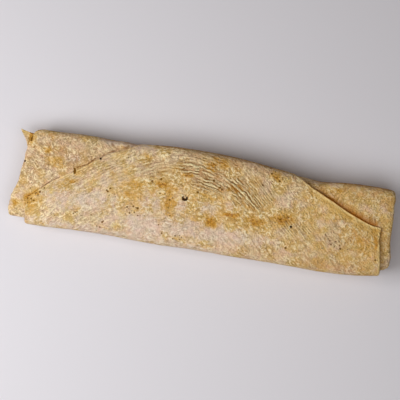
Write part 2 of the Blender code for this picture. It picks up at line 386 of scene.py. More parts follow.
def relief(x, s, turned, skin):
    """How far the soft sheet swells out of the even skin."""
    sheet = np.column_stack((x, s, np.zeros_like(s)))
    across = across_creases(x, s, turned)
    stretched = np.column_stack((x / CREASE_LENGTH, across / CREASE_WIDTH, np.full_like(s, 7.0)))
    creased = CREASE_ELSEWHERE + soft_patches(skin, CREASED)
    return (
        -fold_lines(skin)[0]
        + soft_patches(skin, BULGES) * (turned > UNDER[0])
        + LUMP * wander(skin, LUMP_LENGTH)
        + DIMPLE * wander(sheet, DIMPLE_LENGTH, seed=3.1)
        + PUCKER * wander(sheet, PUCKER_LENGTH, seed=11.7)
        + CREASE * creased * wander(stretched, 1.0)
    )


def roll_points(x, angle, depth, s, turned):
    """Points of the roll, an (n, 3) array, for flat arrays of places on it."""
    up = np.sin(np.radians(angle))
    even = np.column_stack((x, *skin_point(x, angle, np.zeros_like(x))))
    swell = relief(x, s, turned, even) * ease(-RELIEF_FADE, RELIEF_FADE, up)
    y, z = skin_point(x, angle, depth - swell)
    return np.column_stack((x, y, np.maximum(z, 0.0)))


# The roll is made of grids of places. Of each place an array keeps seven numbers: x, the angle, the depth, s,
# the way along the sheet, the turns from its round edge, and how deep it is tucked into a gap, from 0 to 1;
# the last also carries the painted shade of the gaps and of the strips beside them.
X, DEPTH, TUCKED = 0, 2, 6
left_corner = LEFT_FOLD[0][1] + GROOVE
right_corner = RIGHT_FOLD[0][1] - GROOVE


def outer_turn():
    """From the flap's edge once round, between the places where the gaps under the flap's corners begin."""
    across, along = np.linspace(0.0, 1.0, COLUMNS + 1), np.linspace(left_corner, right_corner, ROWS + 1)
    turned, x = np.meshgrid(across, along, indexing="ij")
    s = sheet_s(x, turned)
    return np.array((x, angle_at(x, s), turn_depth(x, turned), s, x, turned, np.zeros_like(x)))


def flap_rim():
    """The thickness of the sheet at its round edge, bulging a little, and the gap under it."""
    x = np.linspace(left_corner, right_corner, ROWS + 1)
    none, whole = np.zeros_like(x), np.ones_like(x)
    top, edge = turn_depth(x, none), sheet_s(x, none)
    thickness = FOLD_SHARE * (first_step(x) - top)
    bulge = OVERHANG * ease(0.0, OVERHANG_ENDS, np.minimum(x - left_corner, right_corner - x))
    rows = []
    for step in range(RIM_STEPS + 1):
        bend = math.pi * step / RIM_STEPS
        s = edge - bulge * math.sin(bend)
        depth = top + thickness * 0.5 * (1 - math.cos(bend))
        rows.append((x, angle_at(x, s), depth, s, x, none, (step / RIM_STEPS) ** 2 * whole))
    s = sheet_s(x, whole)
    rows.append((x, angle_at(x, s), first_step(x), s, x, whole, whole))
    return np.array(rows).transpose(1, 0, 2)


def end_column(corner, fold, side, turned, start):
    """One column of an end: the strip that sticks out, the round of the folded rim, and the gap down to the
    next turn. The strip starts where that gap ended one turn before, or else at the corner."""
    s, next_s = float(sheet_s(corner, turned)), float(sheet_s(corner, turned + 1.0))
    angle, depth = float(angle_at(corner, s)), float(turn_depth(corner, turned))
    next_depth = float(turn_depth(corner, min(turned + 1.0, TURNS)))
    radius = 0.5 * FOLD_SHARE * (next_depth - depth)
    ragged = RAGGED * noise.noise(Vector((side * 9.0, 3.0 * turned, 0.3 * s)))
    stop = float(curve(fold, angle)) - side * radius + ragged
    stop += (start - stop) * float(ease(TURNS - INNER_END_SHARE, TURNS, turned))
    gap_end = stop - side * GROOVE if turned else corner

    x = start + (stop - start) * np.linspace(0.0, 1.0, STRIP_ROWS + 1)
    lean = 1.0 - float(ease(0.0, CORNER_SHARE, turned))
    strip_s = s + lean * (sheet_s(x, turned) - s)
    strip_angle = angle + lean * (angle_at(x, strip_s) - angle) if lean else np.full_like(x, angle)
    bends = math.pi * np.arange(1, FOLD_STEPS + 1) / FOLD_STEPS
    bends[-1] -= 1e-9  # so that its sine isn't below 0
    sines, cosines = np.sin(bends), np.cos(bends)
    bend_x = stop + side * radius * sines**FOLD_POWER
    bend_depth = depth + radius * (1.0 - np.sign(cosines) * np.abs(cosines) ** FOLD_POWER)
    dark = INNER_DARK if turned > 1.0 else 1.0
    shade = RIM_SHADE * (1.0 - ease(GROOVE, GROOVE + RIM_SHADE_WIDTH, np.abs(x - start))) * (turned > 1.0)
    return np.array(
        (
            np.r_[x, bend_x, gap_end, gap_end],
            np.r_[strip_angle, np.full(FOLD_STEPS, strip_angle[-1]), angle, angle],
            np.r_[np.full_like(x, depth), bend_depth, depth + 2 * radius, next_depth],
            np.r_[strip_s, np.full(FOLD_STEPS, strip_s[-1]), s, next_s],
            np.r_[x, stop + side * radius * bends, gap_end, gap_end],
            np.r_[np.full(STRIP_ROWS + FOLD_STEPS + 2, turned), turned + 1.0],
            np.r_[shade, dark * (bends / math.pi) ** 3, dark, dark],
        )
    )


def rolled_end(corner, fold, side):
    """One end of the roll, with a column for each place round its turns."""
    columns = []
    for j in range(round(TURNS * COLUMNS)):
        start = columns[j - COLUMNS][X, -1] if j > COLUMNS else corner
        columns.append(end_column(corner, fold, side, j / COLUMNS, start))
    inner_end = columns[-COLUMNS][:, -1:]  # the sheet's inner end meets the gap one turn before it
    columns.append(np.repeat(inner_end, columns[0].shape[1], axis=1))
    return np.array(columns).transpose(1, 0, 2)


def end_core(end, side):
    """The pinched middle inside the last turn of an end, which swells out a little."""
    innermost = end[:, -COLUMNS - 1 :, -1]
    height = skin_size(innermost[X])[2]
    room = np.minimum((1.0 - WAIST) * height, WAIST * height + BASE_SAG) - innermost[DEPTH]
    rows = []
    for bend in np.linspace(0.0, 0.5 * math.pi, CORE_STEPS + 1):
        row = innermost.copy()
        row[X] += side * CORE_BULGE * math.sin(bend)
        row[DEPTH] += CORE_CLOSED * room * (1.0 - math.cos(bend))
        # painted shade in the pinched middle, darkest where it meets the last turn
        row[TUCKED] = INNER_DARK * math.cos(bend) ** 2
        rows.append(row)
    return np.stack(rows, axis=2)


def edge_distance(x, s, turned):
    """Distance from the flap's round edge, below 0 on the layer beyond it."""
    slope = np.gradient(curve(FLAP_EDGE, MEASURED_X), MEASURED_X)
    distance = np.where(turned < 0.5, s - sheet_s(x, 0.0), s - sheet_s(x, 1.0))
    distance /= np.hypot(1.0, np.interp(x, MEASURED_X, slope))
    past_corner = np.maximum(x - right_corner, left_corner - x)
    return np.where((turned >= 0.5) & (past_corner > 0.0), -np.hypot(distance, past_corner), distance)


def get_points(mesh):
    """The mesh's points, in the millimetres of this section."""
    points = np.empty(len(mesh.vertices) * 3)
    mesh.vertices.foreach_get("co", points)
    return points.reshape(-1, 3) / MM - (AXIS_X, AXIS_Y, 0.0)


def set_points(mesh, points):
    mesh.vertices.foreach_set("co", ((points + (AXIS_X, AXIS_Y, 0.0)) * MM).ravel())


def set_attributes(mesh, painted):
    for name, values in painted.items():
        mesh.attributes.new(name, "FLOAT", "POINT").data.foreach_set("value", values)


def set_grain(mesh, places):
    """The mesh's one UV map, in centimetres, along the sheet and across its creases."""
    corners = np.empty(len(mesh.loops), dtype=int)
    mesh.loops.foreach_get("vertex_index", corners)
    mesh.uv_layers[0].name = "grain"
    mesh.uv_layers["grain"].uv.foreach_set("vector", places[corners].ravel() * 0.1)


def add_grid(name, first, second):
    """A flat grid with so many faces along each of its two sides, and how far along each of them its points
    lie, from 0 to 1."""
    bpy.ops.mesh.primitive_grid_add(x_subdivisions=first, y_subdivisions=second, size=2.0)
    grid = bpy.context.object
    grid.name = name
    flat = np.empty(len(grid.data.vertices) * 3)
    grid.data.vertices.foreach_get("co", flat)
    down, across = 0.5 * (flat.reshape(-1, 3)[:, :2].T + 1.0)
    return grid, down, across


def add_sheet(name, places):
    """A grid whose points are moved to their places on the roll, with what the finish reads of them."""
    rows, columns = places.shape[1] - 1, places.shape[2] - 1
    grid, down, across = add_grid(name, rows, columns)
    here = places[:, np.rint(down * rows).astype(int), np.rint(across * columns).astype(int)]
    x, angle, depth, s, along, turned, tucked = here
    set_points(grid.data, roll_points(x, angle, depth, s, turned))
    set_grain(grid.data, np.column_stack((along, across_creases(along, s, turned))))
    set_attributes(grid.data, {"turned": turned, "tucked": tucked, "from_edge": edge_distance(x, s, turned)})
    grid.data.update()
    return grid


bpy.ops.object.select_all(action="DESELECT")
grids = [add_sheet("outer_turn", outer_turn()), add_sheet("flap_rim", flap_rim())]
for name, corner, fold, side in (
    ("left_end", left_corner, LEFT_FOLD, -1),
    ("right_end", right_corner, RIGHT_FOLD, 1),
):
    end = rolled_end(corner, fold, side)
    grids += [add_sheet(name, end), add_sheet(name + "_core", end_core(end, side))]

bpy.ops.object.select_all(action="DESELECT")
for grid in grids:
    grid.select_set(True)
roll = grids[0]
bpy.context.view_layer.objects.active = roll
bpy.ops.object.join()
roll.name = "rolled_flatbread"
bpy.ops.object.mode_set(mode="EDIT")
bpy.ops.mesh.select_all(action="SELECT")
bpy.ops.mesh.remove_doubles(threshold=WELD)
bpy.ops.mesh.select_all(action="DESELECT")
bpy.ops.mesh.select_non_manifold()
bpy.ops.mesh.fill_holes(sides=0)
bpy.ops.mesh.select_all(action="SELECT")
bpy.ops.mesh.normals_make_consistent(inside=False)
bpy.ops.object.mode_set(mode="OBJECT")
bpy.ops.object.shade_smooth()

# Its finish: soft wheat flatbread, toasted in a dry pan. Pale tan and floury, with yellow-brown toast marks,
# a few charred dots, flecks of bran, brown where it is folded and creased, painted shade in its creases, gaps
# and along its back edge, and painted highlights on its rims and ridges. It is laid on layer by layer, and
# what each layer needs to know of a place is painted on the mesh as attributes.


class Wire:
    """A value on a socket of a material. Sums on it add Math nodes, and node() adds any other kind."""

    def __init__(self, tree, socket=None):
        self.tree, self.socket = tree, socket

    def node(self, kind, settings=None, inputs=None, output=0):
        made = self.tree.nodes.new(kind)
        for name, value in (settings or {}).items():
            setattr(made, name, value)
        for name, value in (inputs or {}).items():
            if isinstance(value, Wire):
                self.tree.links.new(value.socket, made.inputs[name])
            else:
                made.inputs[name].default_value = value
        return Wire(self.tree, made.outputs[output])

    def math(self, operation, *values):
        return self.node("ShaderNodeMath", {"operation": operation}, dict(enumerate(values)))

    def __add__(self, other):
        return self.math("ADD", self, other)

    def __sub__(self, other):
        return self.math("SUBTRACT", self, other)

    def __mul__(self, other):
        return self.math("MULTIPLY", self, other)

    def __rsub__(self, other):
        return self.math("SUBTRACT", other, self)

    __radd__ = __add__
    __rmul__ = __mul__

    def size(self):
        """This value without its sign."""
        return self.math("ABSOLUTE", self)

    def rise(self, low, high):
        """0 at low, 1 at high, and a smooth change between them."""
        limits = {"Value": self, "From Min": low, "From Max": high}
        return self.node("ShaderNodeMapRange", {"interpolation_type": "SMOOTHSTEP"}, limits)

    def mix(self, first, second):
        """A blend of two colours, with this value as the share of the second."""
        return self.node("ShaderNodeMix", {"data_type": "RGBA"}, {0: self, 6: first, 7: second}, 2)

    def brighten(self, factor):
        """This colour times a factor."""
        return self.node("ShaderNodeVectorMath", {"operation": "SCALE"}, {0: self, "Scale": factor})

    def times(self, other):
        """This colour or vector times another."""
        return self.node("ShaderNodeVectorMath", {"operation": "MULTIPLY"}, {0: self, 1: other})

    def part(self, axis):
        """One part of this vector."""
        return self.node("ShaderNodeSeparateXYZ", None, {0: self}, axis)

    def distance(self, point):
        """How far this vector is from a point."""
        return self.node("ShaderNodeVectorMath", {"operation": "DISTANCE"}, {0: self, 1: point}, 1)

    def noise(self, scale, detail=2.0, roughness=0.5, distortion=0.0):
        """Noise read at this vector."""
        grit = {"Scale": scale, "Detail": detail, "Roughness": roughness, "Distortion": distortion}
        return self.node("ShaderNodeTexNoise", None, {"Vector": self, **grit})


# What is painted on each point.
PAINTED = (
    "seen",  # from above, where the listed marks are placed
    "turned",  # turns from the sheet's round edge
    # how deep a point is tucked sets the painted shade of the gaps
    "tucked",  # into a gap
    "from_edge",  # millimetres from the flap's edge, below 0 beyond it
    "toast",
    "brown",
    "floured",
    "yellowed",
    "dulled",
    "creased",
    "folded",
    "flecked",
    "lit_rim",
)


class Surface:
    """What the finish reads at each place: where it is, in centimetres, what is painted there, and the noises
    that more than one layer needs."""

    def __init__(self, tree):
        start = Wire(tree)
        self.place = start.node("ShaderNodeTexCoord", output=3).times((100.0, 100.0, 100.0))
        self.grain = start.node("ShaderNodeUVMap", {"uv_map": "grain"})
        for name in PAINTED:
            setattr(self, name, start.node("ShaderNodeAttribute", {"attribute_name": name}, output=2))
        self.under = self.turned.rise(*UNDER)
        self.left = self.place.part(0).rise(-2.0, -5.0)  # 1 on the left part of the roll
        self.right = self.place.part(0).rise(5.0, 8.0)  # 1 on its right part
        self.patch = self.place.noise(2.3, 3.0, 0.65)
        self.speckle = self.place.noise(6.5, 3.0, 0.7)
        self.crumple = self.place.noise(3.8, 3.0, 0.6, 1.4)
        self.broken = self.place.noise(4.5, 4.0, 0.7)
        self.streaks = self.grain.times((3.2, 6.0, 1.0)).noise(1.0, 2.0, 0.6)


def srgb(red, green, blue):
    """A colour given as a screen shows it, in 0 to 255, as the linear values that a shader takes."""
    parts = [value / 255.0 for value in (red, green, blue)]
    linear = [part / 12.92 if part <= 0.04045 else ((part + 0.055) / 1.055) ** 2.4 for part in parts]
    return (*linear, 1.0)


# The dough: pinkish, tan and yellow in blotches, floury here and there, browner where it is folded, and
# darker along the back edge with painted shade.
DOUGH_TAN = srgb(225, 194, 147)
DOUGH_PINK = srgb(232, 203, 169)
DOUGH_YELLOW = srgb(225, 186, 106)
DOUGH_DULL = srgb(188, 150, 114)
FLOUR_PINK = srgb(232, 209, 190)
BROWN_CAST = srgb(198, 150, 92)
EVEN = (1.0, 1.0, 1.0, 1.0)  # this and the next four are factors
ROSY, GREENISH = (1.05, 0.965, 0.99, 1.0), (0.985, 1.01, 1.0, 1.0)
WARM, PALE = (1.05, 0.98, 0.88, 1.0), (1.02, 1.05, 1.12, 1.0)

# Where dry flour is left, and where the dough is yellower, browner or duller; one of the floury patches is a
# painted highlight. Each patch is given as seen from above: x, y, half length along the roll, half width,
# strength.
FLOUR_AND_HIGHLIGHT = (
    (0.0, -18.0, 46.0, 6.0, 0.8),
    (-76.0, -10.0, 26.0, 9.0, 0.5),
    (-28.0, -4.0, 3.5, 6.0, 0.7),
    (-13.0, -4.0, 4.0, 4.0, 0.7),
    (5.0, -3.0, 6.5, 4.5, 0.8),
    (18.0, 1.5, 5.0, 2.0, 0.5),
    (-84.0, 14.5, 6.0, 3.0, 0.5),
    (-60.0, 6.0, 9.0, 8.0, 0.35),
    (-8.0, -28.5, 34.0, 3.5, 0.6),
    (-35.0, -5.0, 4.0, 6.0, 0.7),
    (-32.0, -20.0, 14.0, 8.0, 0.9),
    # a painted highlight: the pale back edge at the left, where it catches the light
    (-52.0, 28.8, 18.0, 1.6, 0.9),
    (-62.0, -28.0, 50.0, 2.6, 0.7),
)
YELLOWED = (
    (109.0, -4.0, 9.0, 8.0, 1.3),
    (32.0, 2.6, 5.0, 2.6, 1.6),
    (74.0, 15.0, 12.0, 5.0, 1.0),
    (4.0, 3.0, 58.0, 13.0, 0.9),
    (-44.0, 0.0, 14.0, 14.0, 0.5),
    (106.0, -5.0, 14.0, 12.0, 0.9),
    (88.0, 9.0, 20.0, 6.0, 0.8),
    (78.0, 17.0, 8.0, 5.0, 0.7),
    (-106.0, -16.0, 8.0, 9.0, 0.7),
    (-72.0, 8.0, 16.0, 4.0, 0.6),
    (-53.0, 11.0, 9.0, 5.0, 0.5),
    (64.0, -14.0, 12.0, 5.0, 0.4),
)
BROWN_PATCHES = (
    (2.0, 17.0, 36.0, 11.0, 0.5),
    (-96.0, 15.0, 18.0, 9.0, 0.45),
    (88.0, -25.0, 34.0, 5.0, 0.45),
    (30.0, -27.0, 24.0, 4.0, 0.3),
    (44.0, -23.0, 13.0, 6.0, 0.4),
    (-60.0, -27.0, 40.0, 3.0, 0.25),
    (100.0, -8.0, 22.0, 14.0, 0.25),
    (100.0, 22.0, 22.0, 8.0, 0.3),
    # the next four lie along the back edge, and their brown is partly painted shade
    (12.0, 28.0, 26.0, 4.0, 0.6),
    (-48.0, 27.0, 14.0, 4.0, 0.4),
    (-90.0, 26.0, 18.0, 4.0, 0.45),
    (40.0, 26.0, 12.0, 4.0, 0.45),
    (62.0, -18.0, 22.0, 6.0, 0.2),
)
DULLED = (
    (-88.0, 14.0, 20.0, 9.0, 0.5),
    (-108.0, 8.0, 9.0, 12.0, 0.45),
)
# painted shade, with some toast brown, along the back edge where the roll turns away from the light
BACK_EDGE_BROWN_AND_SHADE = ((0.3, -6.0, -2.0), (0.85, -1.4, -0.2))  # strength, and from where to where before the back edge


def brown_and_shade_strength(points, back, seen):
    """How brown the dough is: in patches, and along the roll's back edge, which is paler to the left. Along
    the back edge the brown is mostly painted shade, with some toast brown in it.
    """
    brown = soft_patches(points, BROWN_PATCHES, seen)
    behind = 0.25 + 0.75 * ease(-42.0, -28.0, points[:, 0])
    for strength, start, stop in BACK_EDGE_BROWN_AND_SHADE:
        brown = np.maximum(brown, strength * behind * seen * ease(start, stop, points[:, 1] - back))
    return brown


def dough(on):
    """The colour of the bare dough, with the painted shade along the back edge, and how brown and shaded it
    is.
    """
    blotch = on.place.noise(0.8, 3.0, 0.55) * 0.7 + on.patch * 0.3
    colour = blotch.rise(0.42, 0.56).mix(DOUGH_TAN, DOUGH_PINK)
    yellow = (on.place.noise(1.2, 3.0, 0.5) + on.right * 0.09 + on.yellowed * 0.14).rise(0.44, 0.64)
    colour = (yellow * 0.85).mix(colour, DOUGH_YELLOW)
    flour_and_highlight_share = on.floured + (on.patch - 0.5) * 1.5 * on.floured.rise(0.0, 0.3)
    colour = (flour_and_highlight_share.rise(0.1, 0.9) * 0.7).mix(colour, FLOUR_PINK)
    browned_and_shaded = (on.brown + (on.patch - 0.5) * on.brown.rise(0.0, 0.3) * 1.4).rise(0.0, 1.0)
    colour = browned_and_shaded.mix(colour, BROWN_CAST)
    colour = (on.dulled * (0.4 + on.patch * 1.2)).mix(colour, DOUGH_DULL)
    cast = on.place.noise(2.1, 2.0, 0.5).rise(0.3, 0.7).mix(ROSY, GREENISH)
    cool = (on.left * (1.0 - on.under)).mix(EVEN, PALE)
    return colour.times(cast).times(cool), browned_and_shaded


# Toast: marks with soft, broken edges, yellow outside and brown at the heart.
TOAST_LIGHT = srgb(224, 178, 92)
TOAST_YELLOW = srgb(212, 155, 58)
TOAST_BROWN = srgb(160, 96, 22)
TOAST_MARKS = (
    (7.8, -10.4, 3.9, 3.9, 0.88),
    (7.8, -10.4, 7.0, 6.0, 0.38),
    (-26.5, 6.5, 4.5, 3.2, 0.9),
    (-20.0, 5.0, 5.0, 4.0, 0.55),
    (-19.5, -3.5, 3.0, 6.0, 0.62),
    (-17.5, -10.0, 3.5, 3.0, 0.45),
    (-28.0, 9.5, 7.0, 6.0, 0.35),
    (-43.0, 4.5, 5.5, 3.5, 0.55),
    (-46.5, -2.5, 4.5, 3.0, 0.62),
    (-44.5, -6.0, 3.5, 2.5, 0.32),
    (-41.5, -10.0, 5.5, 3.5, 0.35),
    (-43.0, -2.5, 9.0, 12.0, 0.36),
    (21.0, -4.2, 6.5, 2.4, 0.95),
    (18.0, -6.0, 11.0, 6.0, 0.34),
    (36.5, -6.2, 8.0, 3.6, 0.8),
    (40.0, -8.0, 9.0, 5.0, 0.4),
    (53.0, -1.8, 7.5, 3.8, 0.9),
    (47.0, -3.0, 9.0, 4.5, 0.45),
    (-10.8, 16.5, 3.4, 2.2, 1.0),
    (20.0, 12.0, 5.0, 2.6, 1.0),
    (32.0, 2.6, 4.0, 2.0, 0.55),
    (2.5, 5.0, 5.5, 2.2, 0.45),
    (8.2, 27.2, 5.6, 3.2, 0.9),
    (3.0, 23.0, 4.2, 2.2, 0.95),
    (44.0, 24.0, 5.5, 3.2, 0.7),
    (-82.5, 0.2, 3.8, 2.0, 0.8),
    (-86.3, -2.8, 3.0, 2.2, 0.48),
    (-84.5, -1.2, 5.5, 3.0, 0.22),
    (-103.5, -11.0, 3.5, 2.6, 0.8),
    (-105.0, -16.0, 5.0, 7.0, 0.42),
    (-108.0, -14.0, 3.2, 3.2, 0.85),
    (-106.8, -18.5, 2.0, 3.2, 0.55),
    (-80.0, 6.4, 1.8, 2.0, 0.5),
    (-96.0, 11.0, 8.0, 3.5, 0.42),
    (-102.0, 17.0, 4.0, 2.4, 0.6),
    (-92.0, 9.0, 4.0, 2.4, 0.45),
    (-112.5, 21.5, 3.0, 4.0, 0.55),
    (84.0, 23.0, 4.0, 2.0, 0.65),
    (94.0, 7.0, 4.5, 2.0, 0.8),
    (78.0, 16.0, 3.0, 1.6, 0.5),
    (110.5, 1.0, 3.4, 2.6, 0.85),
    (113.0, -7.0, 2.4, 4.5, 0.7),
    (107.0, -12.0, 6.0, 5.0, 0.38),
    (103.0, -7.0, 4.0, 2.4, 0.5),
    (-117.0, -20.0, 2.4, 4.5, 0.5),
    (-116.5, -10.0, 1.8, 3.5, 0.4),
    (-3.0, -9.5, 5.0, 4.5, 0.36),
    (-1.0, -16.0, 3.0, 2.6, 0.2),
    (-8.0, -6.0, 5.0, 3.0, 0.2),
    (-11.0, -24.0, 4.5, 2.2, 0.45),
    (-38.0, 22.0, 5.0, 4.0, 0.38),
    (-18.0, 20.0, 3.5, 3.0, 0.5),
    (-51.0, 10.0, 4.0, 2.0, 0.2),
)
HIDDEN_MARKS = 44  # toast marks on the sides and underneath, which the hot pan made there too
HIDDEN_BELOW = 0.42  # of the roll's height
HIDDEN_SIZES = ((3.0, 9.0), (2.0, 5.0), (0.3, 0.9))  # between these: half length, half width, strength
HIDDEN_FADE = (0.35, 1.45)  # they fade out between these shares of their size


def toast_strength(points, seen, sides):
    """How toasted each point is: by the listed marks, and by others drawn at random on the sides."""
    toast = soft_patches(points, TOAST_MARKS, seen)
    draw = np.random.default_rng(5)
    for centre in sides[draw.integers(0, len(sides), HIDDEN_MARKS)]:
        long, wide, strength = (draw.uniform(*limits) for limits in HIDDEN_SIZES)
        reach = np.linalg.norm((points - centre) / (long, wide, wide), axis=1)
        toast = np.maximum(toast, strength * (1.0 - seen) * (1.0 - ease(*HIDDEN_FADE, reach)))
    return toast


def toasted_dough(on, colour):
    """The colour with the toast marks, and how toasted it is."""
    fray = (on.broken - 0.5) * 0.8 + (on.streaks - 0.5) * 0.6
    marked = on.toast + fray * on.toast.rise(0.0, 0.3)
    toasted = marked.rise(0.2, 0.8)
    colour = (marked.rise(0.0, 0.5) * 0.8).mix(colour, TOAST_LIGHT)
    colour = (toasted * 0.9).mix(colour, TOAST_YELLOW)
    heart = (on.toast * 0.75 + (on.place.noise(8.0, 3.0, 0.7) - 0.5) * 2.6).rise(0.5, 0.95)
    colour = (heart * on.toast.rise(0.2, 0.7) * 0.9).mix(colour, TOAST_BROWN)
    warm = (on.yellowed * 0.6 + on.right * (0.4 - on.under * 0.2)).mix(EVEN, WARM)
    return colour.times(warm), toasted


# The skin's fine wrinkles and grains, stronger in some places: darker in the hollows, with browner dough and
# painted shade, and paler on what stands up, with flour and a painted highlight.
PIT_BROWN = srgb(122, 88, 42)
FLOUR = srgb(255, 236, 191)
FLOUR_WHITE = srgb(250, 236, 212)


def wrinkled_skin(on, colour, browned_and_shaded, toasted):
    """The colour with the wrinkles and grains, and how far each place is from the line of a wrinkle."""
    rough = (on.place.noise(1.3, 2.0, 0.5).rise(0.38, 0.60) * 0.6 + 0.5) * (1.38 - on.right * 0.28)
    rough = rough * (1.0 - on.floured * 0.45) * (0.7 + on.seen * 0.3)
    along = (on.grain.times((1.3, 4.0, 1.0)).noise(1.0, 2.0, 0.5, 0.5) - 0.5).size() * (1.0 + on.under)
    along = along + (1.0 - (on.left * 0.8 + on.creased * 1.2).rise(0.0, 1.0)) * 0.05
    across = (on.place.noise(3.0, 2.0, 0.5, 1.0) - 0.5).size()
    wrinkles = along.math("MINIMUM", along, across)
    fine = on.streaks * (0.4 - on.under * 0.3) + on.crumple * (0.45 + on.under * 0.3) + on.speckle * 0.15
    pits = fine.rise(0.51, 0.36) * rough * (1.0 - on.under * 0.1)
    colour = (pits * 0.35 * (1.0 - toasted * 0.5)).mix(colour, PIT_BROWN)
    colour = (wrinkles.rise(0.02, 0.0) * rough * 0.36).mix(colour, PIT_BROWN)
    grains = (fine + wrinkles * 0.5).rise(0.50, 0.62) * rough * (1.0 - on.under * 0.2)
    grains = grains * 0.62 * (1.0 - toasted * 0.9) * (1.0 - browned_and_shaded.rise(0.6, 1.0) * 0.5)
    colour = grains.mix(colour, on.floured.rise(0.0, 0.6).mix(FLOUR, FLOUR_WHITE))
    return colour.brighten(1.03 - on.right * 0.03 + on.under * 0.012), wrinkles


# The creases: ridges and grooves that run with the bend of the sheet, and the single folds. The creased
# places are browner, the grooves and folds darker with painted shade, and the ridges paler with a painted
# highlight and floury wear.
CREASE_SPACING = 0.215  # centimetres
CREASE_BROWN = srgb(124, 74, 12)
RIDGE_CREAM = srgb(255, 237, 186)


def creased_skin(on, colour):
    """The colour with the creases, their painted shade and painted highlights, and their height."""
    wobble = on.grain.times((0.45, 0.9, 1.0)).noise(1.0, 2.0, 0.5) * 16.0
    wobble = wobble + on.place.noise(2.2, 2.0, 0.5) * 8.0
    wave = on.grain.math("SINE", on.grain.part(1) * (2.0 * math.pi / CREASE_SPACING) + wobble)
    patchy = on.grain.times((2.2, 4.2, 1.0)).noise(1.0, 3.0, 0.65).rise(0.42, 0.56)
    ridged = (0.04 + on.creased * 1.15) * patchy
    colour = (on.creased * 0.5).mix(colour, BROWN_CAST)
    broad = on.grain.times((1.1, 3.6, 1.0)).noise(1.0, 2.0, 0.5)
    colour = (broad.rise(0.48, 0.36) * on.creased * 0.5).mix(colour, CREASE_BROWN)
    colour = (broad.rise(0.52, 0.64) * on.creased * 0.55).mix(colour, RIDGE_CREAM)
    colour = (wave.rise(-0.3, -0.9) * ridged * 0.82).mix(colour, CREASE_BROWN)
    colour = (wave.rise(-0.1, 0.6) * ridged * 0.95).mix(colour, RIDGE_CREAM)
    fold = (on.folded + (on.patch + on.speckle - 1.0) * 0.9).rise(0.45, 1.0)
    return (fold * 0.75).mix(colour, CREASE_BROWN), wave * ridged


# The flap's round edge: a pale rim on it, partly a painted highlight, a painted brown shadow on the layer
# beyond it, and dark painted shade in the gap. The rim gets a painted highlight where it catches the light at
# the right end, and at the left there is a stretch pressed so flat that no gap, and no painted shade, shows.
RIM_PALE = srgb(255, 222, 150)
RIM_YELLOW = srgb(232, 188, 104)
SHADOW_BROWN = srgb(180, 106, 24)
CREVICE = srgb(76, 30, 1)
LIT_RIM = (
    (114.0, -2.5, 0.8, 2.5, 1.0),
    (115.2, -8.5, 0.8, 4.5, 1.0),
    (116.4, -15.0, 0.8, 4.5, 1.0),
    (117.4, -21.5, 0.8, 4.5, 1.0),
)
SEALED = ((-88.5, 2.6, 3.6, 5.0, 0.8),)


def edged_flap(on, colour):
    """The colour with the flap's edge: its painted highlights, and the painted shadow and shade beside it and
    in the gaps.
    """
    inner = on.from_edge.rise(0.6, 1.6) * on.from_edge.rise(7.0, 3.0)
    colour = (inner * on.right * 0.6).mix(colour, RIM_YELLOW)
    rim = on.from_edge.rise(0.0, 0.3) * on.from_edge.rise(1.9, 0.9) + on.lit_rim
    colour = (rim * (0.3 + on.right * 0.65)).mix(colour, RIM_PALE)
    beyond = on.from_edge.rise(-6.0, -0.2) * on.from_edge.rise(0.3, 0.0)
    colour = (beyond * (0.08 + on.right * 0.92) * (0.5 + on.patch * 0.9)).mix(colour, SHADOW_BROWN)
    colour = (on.tucked.rise(0.05, 0.5) * on.right * 0.75).mix(colour, SHADOW_BROWN)
    return on.tucked.rise(0.45 - on.right * 0.3, 0.9).mix(colour, CREVICE)


# Flecks of bran, which lie closer together in some places, and brown and charred dots: x, y, radius.
BRAN = srgb(90, 50, 10)
DOT_BROWN = srgb(118, 76, 0)
CHAR = srgb(46, 14, 0)
FLECKS_PER_CENTIMETRE = 5.0
DOT_SEARCH = 1.0  # a dot lies as high as the highest point so near to it
FLECKED = (
    (-41.0, -11.5, 8.0, 4.0, 0.9),
    (-76.0, -19.0, 5.0, 3.5, 0.8),
    (-88.0, -22.0, 3.0, 3.0, 0.5),
    (43.5, 24.0, 5.0, 6.0, 0.9),
    (88.0, -13.0, 7.0, 5.0, 0.8),
    (9.0, 12.0, 5.0, 4.0, 0.8),
    (-106.0, -14.0, 6.0, 6.0, 0.8),
    (-31.0, 8.5, 5.0, 3.0, 0.6),
    (-16.0, 1.0, 7.0, 5.0, 0.4),
    (-14.0, -24.0, 10.0, 3.0, 0.8),
    (50.0, -22.0, 12.0, 5.0, 0.5),
    (57.0, -19.0, 6.0, 4.0, 0.5),
    (-60.0, -21.0, 8.0, 5.0, 0.4),
    (-58.0, 0.0, 10.0, 4.0, 0.4),
)
CHAR_DOTS = (
    (-11.8, 2.2, 0.4),
    (-11.8, 1.4, 0.65),
    (-11.4, 0.5, 0.9),
    (-10.6, 0.3, 0.9),
    (-9.8, 0.4, 0.85),
    (-9.3, 1.1, 0.8),
    (-9.3, 2.0, 0.55),
    (-10.3, 2.8, 0.3),
    (-67.2, 17.1, 0.8),
    (-114.6, 7.6, 0.8),
    (58.4, -5.3, 0.8),
    (117.7, -26.2, 0.75),
)
